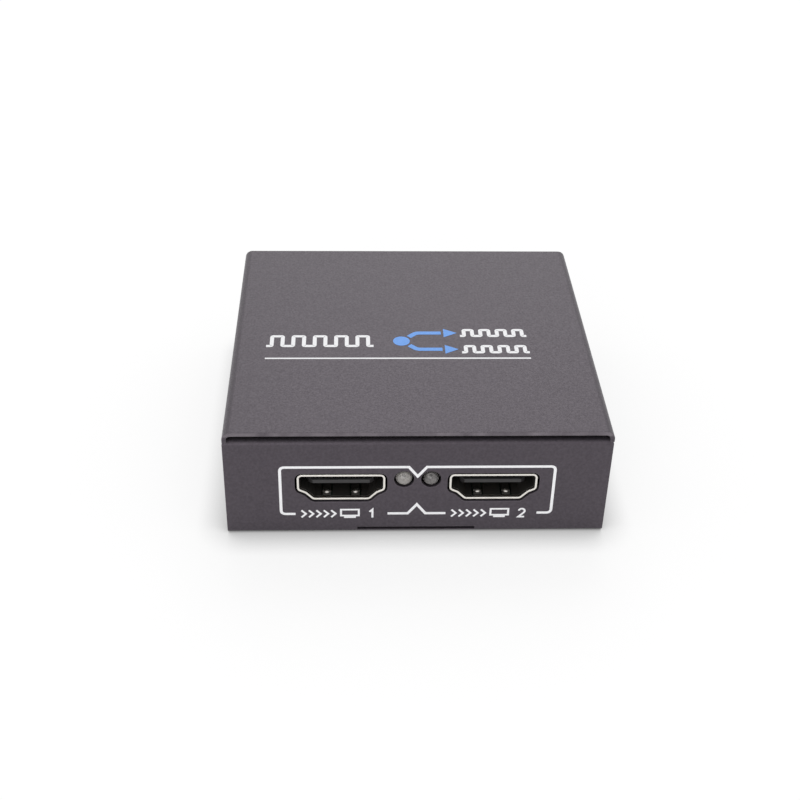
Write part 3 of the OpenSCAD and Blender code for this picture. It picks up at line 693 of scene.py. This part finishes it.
def print_top():
    white = Print("top_print_white", on_top, WHITE_INK)
    white.line(pulses(TRAIN_START, TRAIN_Y, TRAIN_HIGH, TRAIN_STEP, TRAIN_COUNT), PULSE_LINE)
    blue = Print("top_print_blue", on_top, BLUE_INK)
    blue.patch(circle((FORK_X, TRAIN_Y), FORK_R))
    leave = (FORK_R + FORK_GAP) * math.cos(FORK_ANGLE)
    base = BRANCH_END + FORK_GAP
    for side in (-1, 1):
        level = TRAIN_Y + side * BRANCH_APART
        start = (FORK_X + leave, TRAIN_Y + side * leave)
        branch = [start, (FORK_X + BRANCH_APART, level), (BRANCH_END, level)]
        blue.line(eased(branch, FORK_CORNER), FORK_LINE)
        blue.patch([(base, level - ARROW_HALF), (base + ARROW_L, level), (base, level + ARROW_HALF)])
        white.line(pulses(OUT_START, level, OUT_HIGH, OUT_STEP, OUT_COUNT), PULSE_LINE)
    white.line([(TRAIN_START, RULE_Y), (OUT_START + OUT_STEP * OUT_COUNT, RULE_Y)], RULE_LINE)
    white.finish()
    blue.finish()


# Rear: a frame round the input with a player under it, and the polarity of the power jack
REAR_SOCKET = 9.0
REAR_HALF = 10.3
REAR_LABEL_HALF = 4.6
REAR_CHEVRON_COUNT = 2
REAR_CHEVRONS_RIGHT = 0.7
PLAYER_LEFT = 1.8
PLAY_BACK = 0.3
PLAY_TIP = 0.5
PLAY_HALF = 0.4
JACK_AT = -17.0
POLE_Y = 5.0
POLE_STEP = 3.3
POLE_R = 1.05
POLE_LINE = 0.26
POLE_DOT = 0.42
POLE_GAP = 0.2
POLE_OPEN = math.radians(35)
SIGN_HALF = 0.5
DIRECT_Y = 7.6
DIRECT_W = 2.8
DIRECT_APART = 0.7
DASH_COUNT = 3


def print_rear():
    ink = Print("rear_print", on_rear, WHITE_INK)
    left = REAR_SOCKET - REAR_HALF
    right = REAR_SOCKET + REAR_HALF
    ink.line(eased([
        (REAR_SOCKET - REAR_LABEL_HALF, FRAME_LOW), (left, FRAME_LOW), (left, FRAME_HIGH),
        (right, FRAME_HIGH), (right, FRAME_LOW), (REAR_SOCKET + REAR_LABEL_HALF, FRAME_LOW),
    ], FRAME_CORNER), FRAME_LINE)
    player = REAR_SOCKET - PLAYER_LEFT
    back = player - PLAY_BACK
    ink.line(box_line(player, FRAME_LOW, SCREEN_W, CHEVRON_H), MARK_LINE, closed=True)
    ink.patch([(back, FRAME_LOW - PLAY_HALF), (player + PLAY_TIP, FRAME_LOW), (back, FRAME_LOW + PLAY_HALF)])
    ink.chevrons(REAR_SOCKET + REAR_CHEVRONS_RIGHT, FRAME_LOW, REAR_CHEVRON_COUNT, MARK_LINE)
    print_polarity(ink)
    ink.finish()


def print_polarity(ink):
    """Direct current, with the plus on the jack's centre pin."""
    minus = JACK_AT - POLE_STEP
    plus = JACK_AT + POLE_STEP
    for u in (minus, plus):
        ink.line(circle((u, POLE_Y), POLE_R), POLE_LINE, closed=True)
    ink.line([(minus - SIGN_HALF, POLE_Y), (minus + SIGN_HALF, POLE_Y)], POLE_LINE)
    half = POLE_LINE / 2
    ink.patch([(plus + u, POLE_Y + v) for u, v in (
        (half, half), (half, SIGN_HALF), (-half, SIGN_HALF), (-half, half),
        (-SIGN_HALF, half), (-SIGN_HALF, -half), (-half, -half), (-half, -SIGN_HALF),
        (half, -SIGN_HALF), (half, -half), (SIGN_HALF, -half), (SIGN_HALF, half),
    )])
    ink.line(arc((JACK_AT, POLE_Y), POLE_R, POLE_OPEN, FULL_TURN - POLE_OPEN), POLE_LINE)
    ink.patch(circle((JACK_AT, POLE_Y), POLE_DOT))
    ink.line([(minus + POLE_R + POLE_GAP, POLE_Y), (JACK_AT - POLE_R - POLE_GAP, POLE_Y)], POLE_LINE)
    ink.line([(JACK_AT + POLE_DOT + POLE_GAP, POLE_Y), (plus - POLE_R - POLE_GAP, POLE_Y)], POLE_LINE)
    ink.line([(JACK_AT - DIRECT_W / 2, DIRECT_Y), (JACK_AT + DIRECT_W / 2, DIRECT_Y)], POLE_LINE)
    dash = DIRECT_W / (2 * DASH_COUNT - 1)
    for i in range(DASH_COUNT):
        start = JACK_AT - DIRECT_W / 2 + 2 * i * dash
        ink.line([(start, DIRECT_Y - DIRECT_APART), (start + dash, DIRECT_Y - DIRECT_APART)], POLE_LINE)


# Smooth shading over bends and round pieces, with flat faces left flat
WELD = 0.002 * MM
FLAT = math.radians(1)
SHARP = math.radians(35)
LARGE_FACES_LEAD = 100


def smooth_group():
    """Modifier that shades faces smooth and keeps the edges sharper than SHARP."""
    tree = bpy.data.node_groups.new("smooth_over_bends", "GeometryNodeTree")
    tree.interface.new_socket("Mesh", in_out="INPUT", socket_type="NodeSocketGeometry")
    tree.interface.new_socket("Mesh", in_out="OUTPUT", socket_type="NodeSocketGeometry")
    start = tree.nodes.new("NodeGroupInput")
    end = tree.nodes.new("NodeGroupOutput")
    faces = tree.nodes.new("GeometryNodeSetShadeSmooth")
    faces.domain = "FACE"
    edges = tree.nodes.new("GeometryNodeSetShadeSmooth")
    edges.domain = "EDGE"
    edges.inputs["Shade Smooth"].default_value = False
    angle = tree.nodes.new("GeometryNodeInputMeshEdgeAngle")
    sharper = tree.nodes.new("FunctionNodeCompare")
    sharper.operation = "GREATER_THAN"
    sharper.inputs[1].default_value = SHARP
    tree.links.new(angle.outputs["Unsigned Angle"], sharper.inputs[0])
    tree.links.new(sharper.outputs[0], edges.inputs["Selection"])
    tree.links.new(start.outputs[0], faces.inputs["Geometry"])
    tree.links.new(faces.outputs["Geometry"], edges.inputs["Geometry"])
    tree.links.new(edges.outputs["Geometry"], end.inputs[0])
    return tree


def smooth_nodes():
    group = smooth_group()
    for piece in nodes.values():
        weld = piece.modifiers.new("weld", "WELD")
        weld.merge_threshold = WELD
        flat = piece.modifiers.new("flat", "DECIMATE")
        flat.decimate_type = "DISSOLVE"
        flat.angle_limit = FLAT
        smooth = piece.modifiers.new("smooth", "NODES")
        smooth.node_group = group
        shade = piece.modifiers.new("shade", "WEIGHTED_NORMAL")
        shade.weight = LARGE_FACES_LEAD
        shade.keep_sharp = True


# Bowl and die of each light, seen through its lens; depths run in from the tip of the lens
BOWL_RIM = 1.05
BOWL_FLOOR = 1.45
BOWL_BACK = 2.38
BOWL_OUTER_R = 1.22
BOWL_INNER_R = 1.14
BOWL_FLOOR_R = 0.45
BOWL_BACK_R = 0.6
BOWL_STEPS = 40
DIE_HALF = 0.14
DIE_FOOT_HALF = 0.18
DIE_T = 0.12


def make_bowl(name, tip, look):
    """Turned reflector whose open side faces the tip of the lens."""
    profile = [
        (BOWL_BACK, BOWL_BACK_R), (BOWL_RIM, BOWL_OUTER_R),
        (BOWL_RIM, BOWL_INNER_R), (BOWL_FLOOR, BOWL_FLOOR_R),
    ]
    shape = bmesh.new()
    rings = []
    for depth, radius in profile:
        ring = []
        for i in range(BOWL_STEPS):
            angle = FULL_TURN * i / BOWL_STEPS
            point = Vector((radius * math.cos(angle), depth, radius * math.sin(angle)))
            ring.append(shape.verts.new(tip + point * MM))
        rings.append(ring)
    for near, far in zip(rings, rings[1:]):
        wrap(shape, near, far)
    shape.faces.new(rings[0])
    shape.faces.new(rings[-1])
    add_piece(name, shape, look)


def make_die(name, tip):
    """Tapered chip on the floor of the bowl."""
    shape = bmesh.new()
    ends = []
    for depth, half in ((BOWL_FLOOR, DIE_FOOT_HALF), (BOWL_FLOOR - DIE_T, DIE_HALF)):
        corners = box_line(0, 0, 2 * half, 2 * half)
        ends.append([shape.verts.new(tip + Vector((u, depth, v)) * MM) for u, v in corners])
        shape.faces.new(ends[-1])
    wrap(shape, *ends)
    add_piece(name, shape, looks["chip_resin"])


def fill_lights():
    for light, look in BOWL_LOOKS.items():
        low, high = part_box(light + "_lens")
        middle = (low + high) / 2
        tip = Vector((middle.x, low.y, middle.z))
        make_bowl(light + "_bowl", tip, look)
        make_die(light + "_die", tip)


make_camera()
make_world()
make_floor()
make_light("rear_light", REAR_PLACE, REAR_POWER)
make_light("front_light", FRONT_PLACE, FRONT_POWER)
scene.view_settings.view_transform = "Standard"
dress_nodes()
smooth_nodes()
fill_lights()
print_front()
print_top()
print_rear()
